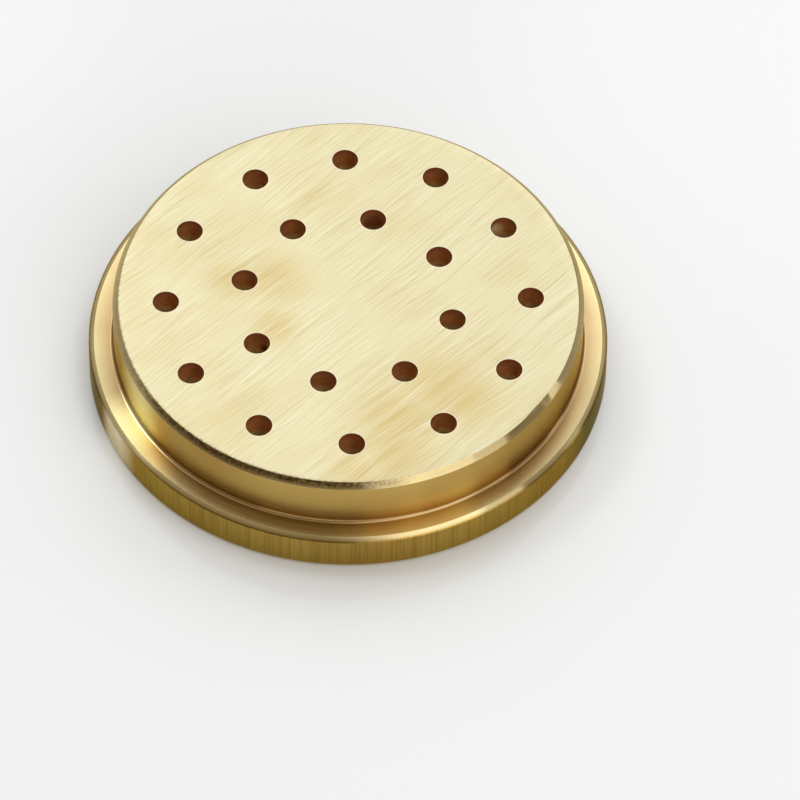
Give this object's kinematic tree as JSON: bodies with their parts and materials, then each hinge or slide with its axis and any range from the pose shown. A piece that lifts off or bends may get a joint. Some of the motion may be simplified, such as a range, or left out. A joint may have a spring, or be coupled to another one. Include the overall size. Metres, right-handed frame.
{
  "type": "pasta extrusion die",
  "caption": "Round flanged brass die with two rings of stepped holes that presses dough into thick round pasta strands; a ring nut clamps it by its flange.",
  "frame": {"origin": "centre of the inlet face, on the surface that the die lies on", "axes": "+Z along the turning axis, out of the outlet face; the first hole of the outer ring lies on +Y"},
  "size_m": [0.059, 0.059, 0.011],
  "materials": {
    "die_body": "turned, with a linished outlet face"
  },
  "bodies": {
    "root": {"die_body": "die_body"}
  },
  "joints": []
}
